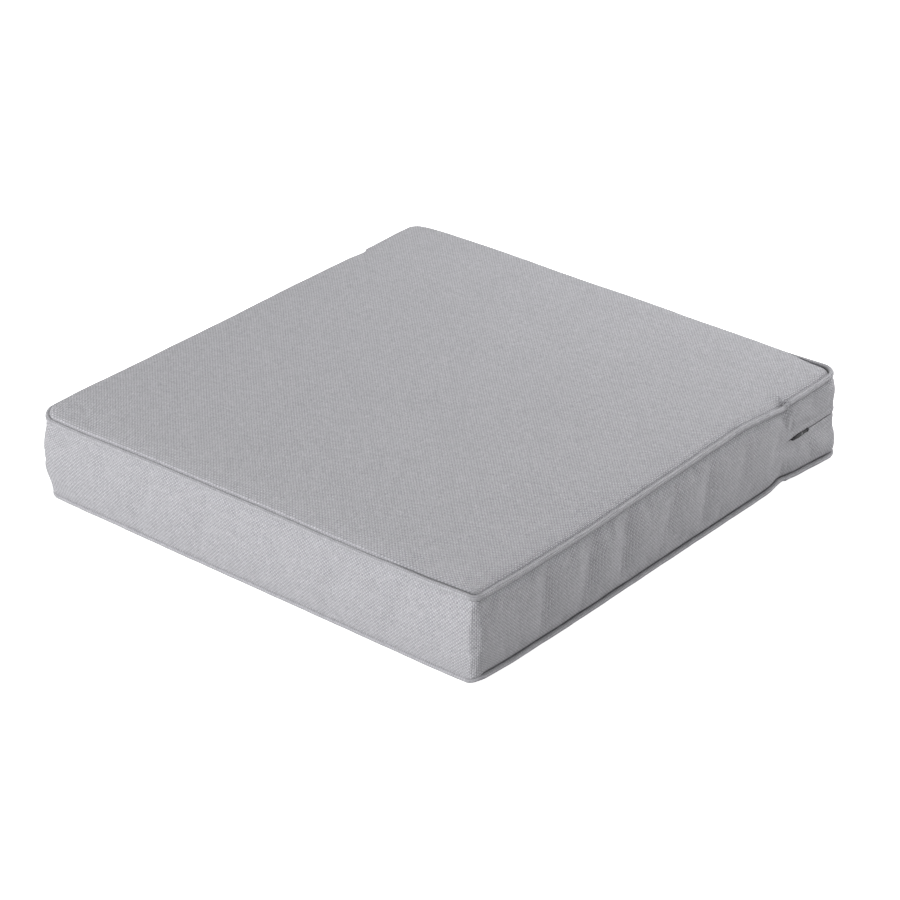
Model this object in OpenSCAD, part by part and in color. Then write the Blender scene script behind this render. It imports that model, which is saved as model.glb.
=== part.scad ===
// Boxed seat and kneeling cushion with piped edges and a lapped zip round the back.
// The origin is at the middle of the underside. +Z is up, -Y is the front and +Y is the zip side.
//
// Sections are drawn once and run round the plan. A section point is [inside, height]:
// inside is the distance in from the outermost line of the piping, height is above the floor.

/* [Cushion] */
// Width from side to side, over the piping
cushion_w = 600; // [450:5:700]
// Depth from front to back, over the piping
cushion_d = 625; // [450:5:700]
// Height of the edge, over both rows of piping
cushion_h = 100; // [90:1:120]
// Height of the middle of the top above the piping
crown_rise = 4; // [1:0.5:10]
// Width of the curved border of the top and the underside
crown_border = 78; // [60:1:120]
// Corner radius in plan, over the piping
corner_r = 22; // [20:1:40]

/* [Cover fabric] */
// Thickness of the woven fabric
fabric_t = 0.6; // [0.4:0.1:0.6]
// Width of the seam allowances inside the cover
seam_w = 9; // [6:0.5:9]
// Distance of the side walls inside the outermost line of the piping
wall_inset = 3; // [3:0.1:3.4]

/* [Piping] */
// Outer diameter of the covered piping
piping_d = 6; // [5:0.5:6]
// Diameter of the cord inside the piping
cord_d = 4.6; // [3:0.1:4.6]

/* [Filling] */
// Distance of the foam block's sides inside the outermost line
foam_inset = 12; // [12:0.5:16]
// Thickness of the wadding over and under the foam, at the edge
wadding_t = 10; // [9:0.5:14]

/* [Zip] */
// Length of the zip band along each side, measured from the back
zip_return = 97; // [90:1:150]
// Height of the slit between the two lips
slit_z = 50; // [42:1:58]
// Gap between the lips, where the slider's bridge passes
slit_gap = 2.4; // [2.2:0.1:3]
// Depth of the folded hems behind the lips
lip_hem = 12; // [10:0.5:14]
// Distance of the topstitching from the slit
topstitch_offset = 8; // [8:0.5:10]
// Distance of the closed slider's middle from the band's join
slider_park = 13; // [12:0.5:16]
// Length of the pull tab from its pin
tab_length = 28; // [20:1:32]

/* [Hidden] */
$fn = 64;
ARC_FN = 360;
touch = 0.05;              // gap between faces that lie against each other
half_w = cushion_w / 2;
half_d = cushion_d / 2;
flat_w = half_w - corner_r;  // half length of the straight part of the front and back
flat_d = half_d - corner_r;  // half length of the straight part of the sides
join_y = half_d - zip_return;
slider_y = join_y + slider_park;

// Top seam, from the outside in: piping, then three turned-in layers lying on each other.
piping_r = piping_d / 2;
piping_c = [piping_r, cushion_h - piping_r];
seam_end = piping_d + seam_w;
flange_z = cushion_h - piping_r - 1;
wall_allowance_z = flange_z - 1.5 * fabric_t - touch;
panel_allowance_z = flange_z + fabric_t + touch;
panel_border_z = panel_allowance_z + 2 * fabric_t - touch;
wall_mid = wall_inset + fabric_t / 2;
wall_top_z = cushion_h - piping_d - 0.7;
knee = [piping_d + 0.4, wall_allowance_z];
crown_z = cushion_h + crown_rise;

// Filling
foam_low = wadding_t;
foam_high = cushion_h - wadding_t;
wadding_outer = wall_inset + 2 * fabric_t + 0.6;
wadding_shoulder = wall_top_z - 0.3;

// Zip, in depths behind the outer face of the side wall
slider_top = 1.6;          // outer face of the slider's top plate
plate_t = 0.9;
channel = 3.2;             // room between the slider's plates
coil_t = 2.15;
coil_w = 3;
tape_t = 0.5;
tape_edge = 1.7;           // the tape's edge stops short of the middle of the chain
slider_l = 11;
slider_w = 9;
neck_t = 1.6;              // thickness of the slider's bridge, across the slit
bridge_l = 6.4;
bridge_top = 2.6;
pin_r = 0.55;
pin_out = 1;               // the pin's distance in front of the side wall
arm_t = 1;
tab_t = 1.2;
ring_r = 2.4;
ring_hole_r = 1.3;
thread_d = 0.4;

coil_in = wall_inset + slider_top + plate_t + 0.25;
tape_mid = coil_in + coil_t + touch + tape_t / 2;
groove_in = wall_inset + slider_top + 2 * plate_t + channel + 0.3;
hem_mid = wall_mid + fabric_t + touch;
tape_flat = wall_inset + 2 * fabric_t + 2 * touch + tape_t / 2;

COVER = "#b2b1b6";
COVER_SIDE = "#a4a3a9";
THREAD = "#9a999f";
WADDING = "#f2f1ec";
FOAM = "#e9e2c4";
TAPE = "#6f6e73";
BLACK = "#202124";

// ---- Section helpers ----

function unit(v) = v / norm(v);
function left_of(p, q) = let (d = unit(q - p)) [-d[1], d[0]];

// Sideways step at a point of a folded strip, so that every stretch keeps its thickness
function mitre(path, i) =
    let (
        before = left_of(path[max(i - 1, 0)], path[max(i, 1)]),
        after = left_of(path[min(i, len(path) - 2)], path[min(i + 1, len(path) - 1)]),
        middle = unit(before + after)
    )
    middle / (middle * before);

// Outline of a strip of the given thickness that follows the path
function strip(path, thickness) = concat(
    [for (i = [0 : len(path) - 1]) path[i] + mitre(path, i) * thickness / 2],
    [for (i = [len(path) - 1 : -1 : 0]) path[i] - mitre(path, i) * thickness / 2]
);

// The same height measured down from the top seam instead of up from the floor
function flipped(path) = [for (p = path) [p[0], cushion_h - p[1]]];

// ---- Running a section round the plan ----
// Side 0 is the right side, 1 the back, 2 the left side and 3 the front.

function reach(side) = side % 2 == 0 ? half_w : half_d;
function straight(side) = side % 2 == 0 ? flat_d : flat_w;

// The section along one side, between two places counted anticlockwise from its middle
module run(side, from, to) {
    rotate(90 * side)
        translate([reach(side), to, 0])
            rotate([90, 0, 0])
                linear_extrude(to - from)
                    mirror([1, 0])
                        children();
}

// The section round the corner that follows a side
module corner(side) {
    rotate(90 * side)
        translate([reach(side) - corner_r, straight(side), 0])
            rotate_extrude(angle = 90)
                translate([corner_r, 0])
                    mirror([1, 0])
                        children();
}

module all_round() {
    for (side = [0 : 3]) {
        run(side, -straight(side), straight(side)) children();
        corner(side) children();
    }
}

// The front and both sides, as far as the joins with the zip band
module front_run() {
    run(0, -flat_d, join_y) children();
    corner(3) children();
    run(3, -flat_w, flat_w) children();
    corner(2) children();
    run(2, -join_y, flat_d) children();
}

// The back and the end of each side, starting a little after each join
module zip_run(right_start, left_start) {
    run(0, join_y + right_start, flat_d) children();
    corner(0) children();
    run(1, -flat_w, flat_w) children();
    corner(1) children();
    run(2, -flat_d, -join_y - left_start) children();
}

// Both stretches of the side walls from one place to another, counted from the join
module both_joins(from, to) {
    run(0, join_y + from, join_y + to) children();
    run(2, -join_y - to, -join_y - from) children();
}

// Turns a piece of the top seam over, for the bottom seam
module underside() {
    translate([0, 0, cushion_h])
        mirror([0, 0, 1])
            children();
}

// ---- Plan and crown ----

module plan(inside) {
    r = corner_r - inside;
    for (x = [-flat_w, flat_w], y = [-flat_d, flat_d])
        translate([x, y]) circle(r = r);
    square([2 * flat_w, 2 * (flat_d + r)], center = true);
    square([2 * (flat_w + r), 2 * flat_d], center = true);
}

module slab(inside, low, high) {
    translate([0, 0, low])
        linear_extrude(high - low)
            plan(inside);
}

// Arched outline: level in the middle, curving down to the border height at both ends
module arch(half, low, border_z, top_z) {
    rise = top_z - border_z;
    arch_r = (pow(crown_border, 2) + pow(rise, 2)) / (2 * rise);
    level = half - crown_border;
    translate([-level, low]) square([2 * level, top_z - low]);
    for (s = [-1, 1])
        intersection() {
            translate([s * level, top_z - arch_r]) circle(r = arch_r, $fn = ARC_FN);
            translate([s > 0 ? level : -half, low]) square([crown_border, top_z - low]);
        }
}

// Block under the crowned face, with its sides at the given inset
module crowned(inside, low, border_z, top_z) {
    intersection() {
        rotate([90, 0, 0])
            linear_extrude(cushion_d, center = true)
                arch(half_w - piping_d, low, border_z, top_z);
        rotate([90, 0, 90])
            linear_extrude(cushion_w, center = true)
                arch(half_d - piping_d, low, border_z, top_z);
        slab(inside, low, top_z + 1);
    }
}

// ---- Filling ----

module foam_core() {
    color(FOAM) slab(foam_inset, foam_low, foam_high);
}

// Wadding between the foam and a panel whose middle is at the given height
module wadding(panel_top) {
    panel_under = panel_top - fabric_t - touch;
    border_under = panel_border_z - fabric_t - touch;
    slab(wadding_outer, foam_high + touch, wadding_shoulder);
    crowned(seam_end + 0.3, foam_high + touch, border_under, panel_under);
}

module wadding_top() {
    color(WADDING) wadding(crown_z);
}

module wadding_bottom() {
    color(WADDING) underside() wadding(cushion_h);
}

// Strip of wadding round the foam's sides, pressed in behind the zip
module wadding_edge() {
    color(WADDING)
        difference() {
            slab(wadding_outer, foam_low, foam_high);
            slab(foam_inset - touch, foam_low - 1, foam_high + 1);
            zip_run(0, 0)
                translate([wadding_outer - 1, slit_z - lip_hem - 4])
                    square([groove_in - wadding_outer + 1, 2 * (lip_hem + 4)]);
        }
}

// ---- Panels ----

// Sheet of fabric over a crown, with its seam allowance turned in underneath
module panel(top_z) {
    difference() {
        crowned(piping_d + touch, panel_allowance_z, panel_border_z, top_z);
        translate([0, 0, -fabric_t])
            crowned(piping_d + touch - 1, panel_allowance_z - 1, panel_border_z, top_z);
    }
    difference() {
        slab(piping_d + touch, panel_allowance_z, panel_allowance_z + fabric_t);
        slab(seam_end, panel_allowance_z - 1, panel_allowance_z + fabric_t + 1);
    }
}

module top_panel() {
    color(COVER) panel(crown_z);
}

module bottom_panel() {
    color(COVER) underside() panel(cushion_h);
}

// ---- Side walls ----

// Path of a wall from its allowance inside the top seam, round the piping, to its face
function wall_top() = [[seam_end, wall_allowance_z], knee, [wall_mid, wall_top_z]];
function reversed(path) = [for (i = [len(path) - 1 : -1 : 0]) path[i]];

module boxing_band() {
    color(COVER_SIDE)
        front_run()
            polygon(strip(concat(wall_top(), reversed(flipped(wall_top()))), fabric_t));
}

// Path of a lip: down the face to the slit, round the fold and back up behind it
function lip(edge_z, hem_z) = [[wall_mid, edge_z], [hem_mid, edge_z], [hem_mid, hem_z]];

// End of a zip band, tucked behind the boxing band at each join
module tuck(low, high) {
    both_joins(-seam_w, fabric_t)
        translate([wall_inset + fabric_t, low]) square([fabric_t, high - low]);
}

module zip_band_upper() {
    edge = slit_z + slit_gap / 2 + fabric_t / 2;
    color(COVER_SIDE) {
        zip_run(touch, touch)
            polygon(strip(concat(wall_top(), lip(edge, slit_z + lip_hem)), fabric_t));
        tuck(slit_z + lip_hem + 2, wall_top_z - 1);
    }
}

module zip_band_lower() {
    edge = slit_z - slit_gap / 2 - fabric_t / 2;
    color(COVER_SIDE) {
        zip_run(touch, touch)
            polygon(strip(concat(flipped(wall_top()), lip(edge, slit_z - lip_hem)), fabric_t));
        tuck(cushion_h - wall_top_z + 1, slit_z - lip_hem - 2);
    }
}

// ---- Piping ----

module piping_cover() {
    all_round()
        difference() {
            union() {
                translate(piping_c) circle(d = piping_d);
                translate([piping_r, flange_z - fabric_t])
                    square([seam_end - piping_r, 2 * fabric_t]);
            }
            translate(piping_c) circle(d = cord_d + 2 * touch);
        }
}

module piping_cord() {
    all_round() translate(piping_c) circle(d = cord_d);
}

module top_piping_cover() {
    color(COVER) piping_cover();
}

module top_piping_cord() {
    color(WADDING) piping_cord();
}

module bottom_piping_cover() {
    color(COVER) underside() piping_cover();
}

module bottom_piping_cord() {
    color(WADDING) underside() piping_cord();
}

// ---- Zip ----

// Tape on one side of the chain: flat in the slider, then bent out to lie on the lip's hem
module tape(up) {
    path = [
        [tape_mid, slit_z + up * tape_edge],
        [tape_mid, slit_z + up * 5.2],
        [tape_flat, slit_z + up * 7.4],
        [tape_flat, slit_z + up * (lip_hem + 2)]
    ];
    zip_run(1, 1) polygon(strip(path, tape_t));
}

// Outer shape of one half of the coiled chain
module coil(up) {
    low = up > 0 ? slit_z + touch / 2 : slit_z - coil_w;
    zip_run(slider_park - 1.2, 9)
        translate([coil_in, low]) square([coil_t, coil_w - touch / 2]);
}

module zip_tape_upper() {
    color(TAPE) tape(1);
}

module zip_tape_lower() {
    color(TAPE) tape(-1);
}

module zip_coil_upper() {
    color(TAPE) coil(1);
}

module zip_coil_lower() {
    color(TAPE) coil(-1);
}

// One stop on each tape, where the closed slider ends its run
module zip_top_stops() {
    stop_l = 2;
    high = slider_park - slider_l / 2 - 0.4;
    color(BLACK)
        for (low = [slit_z + 0.3, slit_z - coil_w])
            run(0, join_y + high - stop_l, join_y + high)
                translate([coil_in, low]) square([coil_t, coil_w - 0.3]);
}

// Staple across both tapes at the far end of the chain, on the left side
module zip_end_staple() {
    color(BLACK)
        run(2, -join_y - 8.5, -join_y - 5.5)
            translate([coil_in, slit_z - coil_w]) square([coil_t, 2 * coil_w]);
}

// Slider and puller are drawn with X outwards from the side wall, Y along the zip and Z up,
// and the middle of the slider on the slit.
module at_slider() {
    translate([half_w - wall_inset, slider_y, slit_z]) children();
}

// Plate of the slider, wide where the tapes part and narrow where the chain leaves closed
module slider_plate(outer) {
    nose = slider_l / 2;
    wide = slider_w / 2;
    translate([-outer - plate_t, 0, 0])
        rotate([90, 0, 90])
            linear_extrude(plate_t)
                polygon([
                    [-nose, -wide + 1.6], [-nose + 1.2, -wide], [nose - 4, -wide],
                    [nose, -wide + 1], [nose, wide - 1], [nose - 4, wide],
                    [-nose + 1.2, wide], [-nose, wide - 1.6]
                ]);
}

module slider_flange(up) {
    depth = channel - 1;
    length = slider_l - 5.2;
    translate([-slider_top - plate_t - depth, -slider_l / 2 + 1.2, up > 0 ? coil_w + 0.3 : -slider_w / 2])
        cube([depth, length, slider_w / 2 - coil_w - 0.3]);
}

// Wedge between the plates that parts the two halves of the chain
module slider_post() {
    translate([-slider_top - plate_t - channel, 0, 0])
        rotate([90, 0, 90])
            linear_extrude(channel)
                polygon([
                    [-slider_l / 2, -1.4], [-slider_l / 2 + 2, -1.4], [-1.6, -0.3],
                    [-1.6, 0.3], [-slider_l / 2 + 2, 1.4], [-slider_l / 2, 1.4]
                ]);
}

// Bridge over the pull tab's pin, standing out through the slit
module slider_bridge() {
    height = bridge_top + slider_top;
    leg = 1.2;
    opening = bridge_top - 0.9 + slider_top;
    translate([-slider_top, 0, -neck_t / 2])
        linear_extrude(neck_t)
            difference() {
                translate([0, -bridge_l / 2]) square([height, bridge_l]);
                translate([-1, -bridge_l / 2 + leg]) square([opening + 1, bridge_l - 2 * leg]);
            }
}

module zip_slider() {
    color(BLACK)
        at_slider() {
            slider_plate(slider_top);
            slider_plate(slider_top + plate_t + channel);
            slider_flange(1);
            slider_flange(-1);
            slider_post();
            slider_bridge();
        }
}

// Two arms that straddle the slider's bridge, a tapered tab and a ring at its end
module zip_puller() {
    arm_in = neck_t / 2 + 0.15;
    arm_out = arm_in + arm_t;
    tab_start = bridge_l / 2 + 1.4;
    ring_y = tab_length - ring_r;
    color(BLACK)
        at_slider()
            translate([pin_out, 0, 0]) {
                cylinder(r = pin_r, h = 2 * arm_out, center = true);
                for (z = [-arm_out, arm_in])
                    translate([0, 0, z]) {
                        cylinder(r = tab_t / 2, h = arm_t);
                        translate([-tab_t / 2, 0, 0]) cube([tab_t, tab_start + 0.4, arm_t]);
                    }
                translate([-tab_t / 2, 0, 0])
                    rotate([90, 0, 90])
                        linear_extrude(tab_t)
                            difference() {
                                union() {
                                    polygon([
                                        [tab_start, -arm_out], [tab_start + 3, -2.4], [ring_y, -1.5],
                                        [ring_y, 1.5], [tab_start + 3, 2.4], [tab_start, arm_out]
                                    ]);
                                    translate([ring_y, 0]) circle(r = ring_r);
                                }
                                translate([ring_y, 0]) circle(r = ring_hole_r);
                            }
            }
}

// ---- Thread ----

module seam_thread() {
    all_round()
        translate([piping_d + 1.4, wall_allowance_z - fabric_t / 2 - touch - thread_d / 2])
            circle(d = thread_d);
}

module top_seam_thread() {
    color(THREAD) seam_thread();
}

module bottom_seam_thread() {
    color(THREAD) underside() seam_thread();
}

// Rows inside each join, through the boxing band and the tucked zip bands
module join_seam_thread() {
    rows = [
        [slit_z + lip_hem + 2, wall_top_z - 1],
        [cushion_h - wall_top_z + 1, slit_z - lip_hem - 2]
    ];
    color(THREAD)
        for (row = rows)
            both_joins(-2, -2 + thread_d)
                translate([wall_inset + 2 * fabric_t, row[0]]) square([thread_d, row[1] - row[0]]);
}

module topstitch(z) {
    color(THREAD)
        zip_run(5, 5) translate([wall_inset - thread_d, z - thread_d / 2]) square(thread_d);
}

module zip_topstitch_upper() {
    topstitch(slit_z + topstitch_offset);
}

module zip_topstitch_lower() {
    topstitch(slit_z - topstitch_offset);
}

// Close bar of stitches across both lips at each end of the slit
module zip_bar_tacks() {
    color(THREAD)
        both_joins(2.5, 4)
            translate([wall_inset - 0.3, slit_z - 4]) square([0.3, 8]);
}

foam_core();
wadding_top();
wadding_bottom();
wadding_edge();
top_panel();
bottom_panel();
boxing_band();
zip_band_upper();
zip_band_lower();
top_piping_cover();
top_piping_cord();
bottom_piping_cover();
bottom_piping_cord();
zip_tape_upper();
zip_tape_lower();
zip_coil_upper();
zip_coil_lower();
zip_top_stops();
zip_end_staple();
zip_slider();
zip_puller();
top_seam_thread();
bottom_seam_thread();
join_seam_thread();
zip_topstitch_upper();
zip_topstitch_lower();
zip_bar_tacks();
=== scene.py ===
# %% [markdown]
# # A boxed garden cushion with piping and a lapped zip
#
# The cushion is a foam block in a sewn cover. The cover is a top panel, an underside panel, a boxing
# band round the front and sides, and a zip band round the back. Piping is sewn into both edges.
# Every piece is built around the imported frame, which fixes the sizes, the zip and its slider.
#
# We start by loading the frame and baking its parts into world space, so that their boxes can be read.

# %% Load the frame
import math
import bpy
import numpy as np
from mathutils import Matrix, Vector


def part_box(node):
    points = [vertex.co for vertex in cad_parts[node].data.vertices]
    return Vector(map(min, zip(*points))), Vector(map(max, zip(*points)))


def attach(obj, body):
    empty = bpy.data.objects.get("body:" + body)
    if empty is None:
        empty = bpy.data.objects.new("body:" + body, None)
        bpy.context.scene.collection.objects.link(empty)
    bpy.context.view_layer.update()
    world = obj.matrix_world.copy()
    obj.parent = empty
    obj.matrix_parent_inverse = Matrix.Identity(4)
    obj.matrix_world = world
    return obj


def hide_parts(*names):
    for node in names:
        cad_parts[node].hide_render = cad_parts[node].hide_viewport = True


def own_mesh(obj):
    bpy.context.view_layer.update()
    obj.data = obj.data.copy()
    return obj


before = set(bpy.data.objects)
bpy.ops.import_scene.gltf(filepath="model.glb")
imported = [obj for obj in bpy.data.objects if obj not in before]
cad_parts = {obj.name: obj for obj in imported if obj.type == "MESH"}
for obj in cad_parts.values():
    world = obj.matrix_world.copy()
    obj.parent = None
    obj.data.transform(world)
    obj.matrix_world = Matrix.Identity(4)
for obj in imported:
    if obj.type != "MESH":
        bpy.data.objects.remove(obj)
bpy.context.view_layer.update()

# %% [markdown]
# ## Sizes
#
# Shapes are worked out in millimetres, because sewing is, and turned into metres when a mesh is made.
# Whatever the frame knows is read from its nodes. Only the corner radius has to be stated again.

# %% Read the sizes
MM = 0.001


def box_mm(node):
    low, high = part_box(node)
    return np.array(low) / MM, np.array(high) / MM


def middle_mm(node, axis):
    return np.mean([corner[axis] for corner in box_mm(node)])


half_w, half_d, height = box_mm("top_piping_cover")[1]
corner_r = 22.0
cord_low, cord_high = box_mm("top_piping_cord")
cord_r = np.ptp([cord_low[2], cord_high[2]]) / 2
piping_r = half_w - cord_high[0] + cord_r
join_y = box_mm("boxing_band")[1][1]
slit_low = box_mm("zip_band_lower")[1][2]
slit_high = box_mm("zip_band_upper")[0][2]
stitch_low, stitch_high = middle_mm("zip_topstitch_lower", 2), middle_mm("zip_topstitch_upper", 2)
slider_y = middle_mm("zip_slider", 1)
slit_z = (slit_low + slit_high) / 2
print(f"half size {half_w:.1f} x {half_d:.1f}, height {height:.1f}, piping radius {piping_r:.2f}")
print(f"join at {join_y:.1f}, slit from {slit_low:.1f} to {slit_high:.1f}, slider at {slider_y:.1f}")

# %% [markdown]
# ## The camera
#
# A camera is placed before anything is made, so that every piece can be looked at as it grows. This one
# stands low over the front right corner, far away with a long lens, as for a catalogue picture.

# %% Camera
def in_scene(name, data):
    """A new object with that data, linked into the scene."""
    made = bpy.data.objects.new(name, data)
    bpy.context.collection.objects.link(made)
    return made


azimuth = math.radians(39.64)
elevation = math.radians(28.75)
toward = Vector((
    math.sin(azimuth) * math.cos(elevation),
    -math.cos(azimuth) * math.cos(elevation),
    math.sin(elevation),
))
across = Vector((math.cos(azimuth), math.sin(azimuth), 0))
above = toward.cross(across)

camera_data = bpy.data.cameras.new("camera")
camera_data.lens = 128.2
camera_data.clip_end = 50
camera = in_scene("camera", camera_data)
camera.location = toward * 3.4791 + across * 0.006 + above * 0.0248
camera.rotation_euler = toward.to_track_quat("Z", "Y").to_euler()
bpy.context.scene.camera = camera
print("camera at", [round(c, 3) for c in camera.location])

# %% [markdown]
# ## The seam lines
#
# A sewn cover is drawn by its seams. On a real cushion they aren't straight: the sides pull in between
# the corners, a seam rides up where the filling is full, and it is nipped where the two bands join.
# Each of these is a smooth hill on one side: (size in mm, its middle along the side, its width).
# A table of hills is easier to adjust than a drawn curve, so that is used here.

# %% Hills along the four sides
TOP_LIFT = {
    "right": [
        (4.2, 135, 32), (3.0, 80, 45), (1.0, 5, 50), (-1.2, -130, 45), (2.6, -290, 45), (1.5, 300, 25),
    ],
    "back": [(1.8, -160, 90), (1.9, 30, 90), (1.0, 170, 50), (2.0, 285, 40), (-2.0, -300, 30)],
    "left": [(2.5, -250, 70), (1.5, -110, 80), (1.5, 60, 90), (1.5, 270, 50)],
    "front": [(-3.5, -250, 90), (-1.5, -60, 90), (-1.4, 110, 80), (2.5, 285, 35)],
}
BOTTOM_LIFT = {
    "right": [(4.5, -320, 50), (1.5, -235, 60)],
    "back": [(1.0, 0, 150)],
    "left": [(1.0, -200, 90), (1.0, 120, 100)],
    "front": [(1.0, -220, 90), (1.0, 305, 20)],
}
TOP_PULL = {
    "right": [(2.2, -20, 190)],
    "back": [(0.6, 0, 200)],
    "left": [(1.0, 0, 180)],
    "front": [(1.0, 0, 190)],
}
BOTTOM_PULL = {
    "right": [(0.6, -20, 170), (1.5, -312, 34), (-6.0, 305, 46)],
    "back": [(1.0, 0, 200), (1.5, -300, 30), (-3.5, 298, 34)],
    "left": [(1.0, 0, 180), (1.5, 312, 30), (1.5, -312, 34)],
    "front": [(0.6, 0, 180), (1.5, -300, 34), (1.5, 300, 34)],
}
# How much painted shade each seam's crease gets, from 0 to 1
TOP_CREASE_SHADE = {
    "right": [(0.75, 0, 900), (0.3, 222, 30), (0.15, -60, 80), (0.6, 214, 4)],
    "back": [(0.35, 0, 900), (0.6, 292, 40)],
    "left": [(0.4, 0, 900), (0.5, -305, 25)],
    "front": [(0.05, 0, 900), (0.7, 250, 42), (0.5, -300, 25)],
}
BOTTOM_CREASE_SHADE = {
    "right": [(0.9, 0, 900)],
    "back": [(0.6, 0, 900)],
    "left": [(0.3, 0, 900)],
    "front": [(0.12, 0, 900)],
}


def hills(table, along):
    return sum(size * np.exp(-(((along - middle) / width) ** 2)) for size, middle, width in table)


def on_sides(tables, spot, normal):
    """One value at each place of a line round the cushion, from the sides that it faces."""
    x, y = spot[:, 0], spot[:, 1]
    right, front = np.clip(normal[:, 0], 0, 1) ** 2, np.clip(-normal[:, 1], 0, 1) ** 2
    left, back = np.clip(-normal[:, 0], 0, 1) ** 2, np.clip(normal[:, 1], 0, 1) ** 2
    return (
        right * hills(tables["right"], y) + back * hills(tables["back"], x)
        + left * hills(tables["left"], y) + front * hills(tables["front"], x)
    )


# %% [markdown]
# At each join the front length of the seam dips and stops, and the rear length starts a little higher.
# A smooth step does that. The piping makes it sharply, and the cloth beside it more softly.

# %% The nip at the joins
TOP_DIP, TOP_DRAW = (4.6, -0.6), (2.4, -0.2)
BOTTOM_DIP, BOTTOM_DRAW = (3.0, 2.0), (2.0, 0.6)
LEFT_SHARE = 0.35
SHARP, SOFT = 0.9, 9


def step(low, high, x):
    t = np.clip((x - low) / (high - low), 0, 1)
    return t * t * (3 - 2 * t)


def nip(spot, dips, soft=SHARP):
    """How far the seam moves at both joins, by one dip in front of the join and another behind it."""
    gap = spot[:, 1] - join_y
    after = step(-soft, soft, gap)
    sides = (spot[:, 0] > half_w - corner_r / 2) + LEFT_SHARE * (spot[:, 0] < corner_r / 2 - half_w)
    before_join = dips[0] * np.exp(-((gap + 5) / 17) ** 2) * (1 - after)
    after_join = dips[1] * np.exp(-((gap - 2) / 14) ** 2) * after
    return sides * (before_join + after_join)


def sharpened(spot, normal, front_right, others):
    """Moves that make the upright corners tighter, by a number of mm less in radius."""
    gap = np.array([half_w, half_d]) - corner_r - np.abs(spot)
    towards = np.sign(spot) * np.exp(-np.maximum(gap, 0) / 25) - normal
    at_front_right = (spot[:, 0] > 0) & (spot[:, 1] < 0)
    return towards * np.where(at_front_right, front_right, others)[:, None]


def seam_shift(spot, normal, soft=SHARP):
    """Moves of the top and of the bottom seam, in millimetres, for places round the cushion."""
    top_lift = on_sides(TOP_LIFT, spot, normal) - nip(spot, TOP_DIP)
    bottom_lift = np.maximum(on_sides(BOTTOM_LIFT, spot, normal) + nip(spot, BOTTOM_DIP), 0)
    top_pull = on_sides(TOP_PULL, spot, normal) + nip(spot, TOP_DRAW, soft)
    bottom_pull = on_sides(BOTTOM_PULL, spot, normal) + nip(spot, BOTTOM_DRAW, soft)
    top_flat = sharpened(spot, normal, 9, 2) - normal * top_pull[:, None]
    bottom_flat = sharpened(spot, normal, 6, 1) - normal * bottom_pull[:, None]
    return np.column_stack([top_flat, top_lift]), np.column_stack([bottom_flat, bottom_lift])


# %% [markdown]
# ## A grid for cloth
#
# Cloth needs an even mesh of squares that is finer where it bends sharply. Here the lines of the grid are
# spaced by a rule, closer at the edges and at the joins, and the grid's corners are bent into arcs.
# A grid made this way keeps its rows and columns, so every later step can use simple arithmetic.

# %% Spacing and corners
def spaced(low, high, coarse, fine, marks, reach):
    """Positions from low to high, about coarse apart, and about fine apart near the marks."""
    p = np.linspace(low, high, 4001)
    near = np.clip(sum(np.exp(-(((p - m) / reach) ** 2)) for m in marks), 0, 1)
    density = 1 / coarse + (1 / fine - 1 / coarse) * near
    total = np.concatenate([[0], np.cumsum((density[1:] + density[:-1]) / 2 * np.diff(p))])
    return np.interp(np.linspace(0, total[-1], round(total[-1]) + 1), total, p)


def bend_corners(x, y, wide, deep, radius):
    """Moves the points of a rectangular grid so that its corners are arcs of that radius."""
    reach = 4 * radius
    a = (np.abs(x) - (wide - reach)) / reach
    b = (np.abs(y) - (deep - reach)) / reach
    ring = np.maximum(np.maximum(a, b), 1e-9)
    rho = ring * radius / reach
    run = np.clip(np.minimum(a, b) / ring, 0, 1) * (ring - rho + rho * math.pi / 4)
    turn = np.maximum(run - (ring - rho), 0) / rho
    far = np.where(turn > 0, ring - rho + rho * np.cos(turn), ring)
    near = np.where(turn > 0, ring - rho + rho * np.sin(turn), run)
    corner = (a > 0) & (b > 0)
    new_x = np.sign(x) * (wide - reach + reach * np.where(a >= b, far, near))
    new_y = np.sign(y) * (deep - reach + reach * np.where(a >= b, near, far))
    return np.where(corner, new_x, x), np.where(corner, new_y, y)


# %% [markdown]
# The panel's grid ends at the seam, just inside the piping. The line round its edge, stepped out by the
# same distance, is the outline of the whole cushion, and the walls and the piping are hung on it.

# %% Panel grid and outline
seam_in = 2 * piping_r - 0.7
panel_w, panel_d, panel_r = half_w - seam_in, half_d - seam_in, corner_r - seam_in
lines_x = spaced(-panel_w, panel_w, 9, 2.2, [-panel_w, panel_w], 9)
lines_y = spaced(-panel_d, panel_d, 5.5, 2.2, [-panel_d, panel_d, join_y], 9)
lines_y = lines_y[np.abs(lines_y - join_y) > 1.2]
lines_y = np.sort(np.append(lines_y, [join_y - 0.6, join_y, join_y + 0.6]))
grid_x, grid_y = bend_corners(*np.meshgrid(lines_x, lines_y), panel_w, panel_d, panel_r)
rows, columns = grid_x.shape
print("panel grid", rows, "x", columns)


def round_edge(field):
    """The values of a grid's edge, anticlockwise from the front left corner, without repeating it."""
    return np.concatenate([field[0, :-1], field[:-1, -1], field[-1, :0:-1], field[:0:-1, 0]])


def outline_of(edge):
    """Outward directions at a line of places round the panel's edge."""
    middle = np.clip(edge, [-panel_w + panel_r, -panel_d + panel_r], [panel_w - panel_r, panel_d - panel_r])
    away = edge - middle
    return away / np.linalg.norm(away, axis=1, keepdims=True)


edge = np.stack([round_edge(grid_x), round_edge(grid_y)], axis=1)
edge_normal = outline_of(edge)
outline = edge + edge_normal * seam_in
top_move, bottom_move = seam_shift(outline, edge_normal, SOFT)
print(f"outline of {len(outline)} places")

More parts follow.
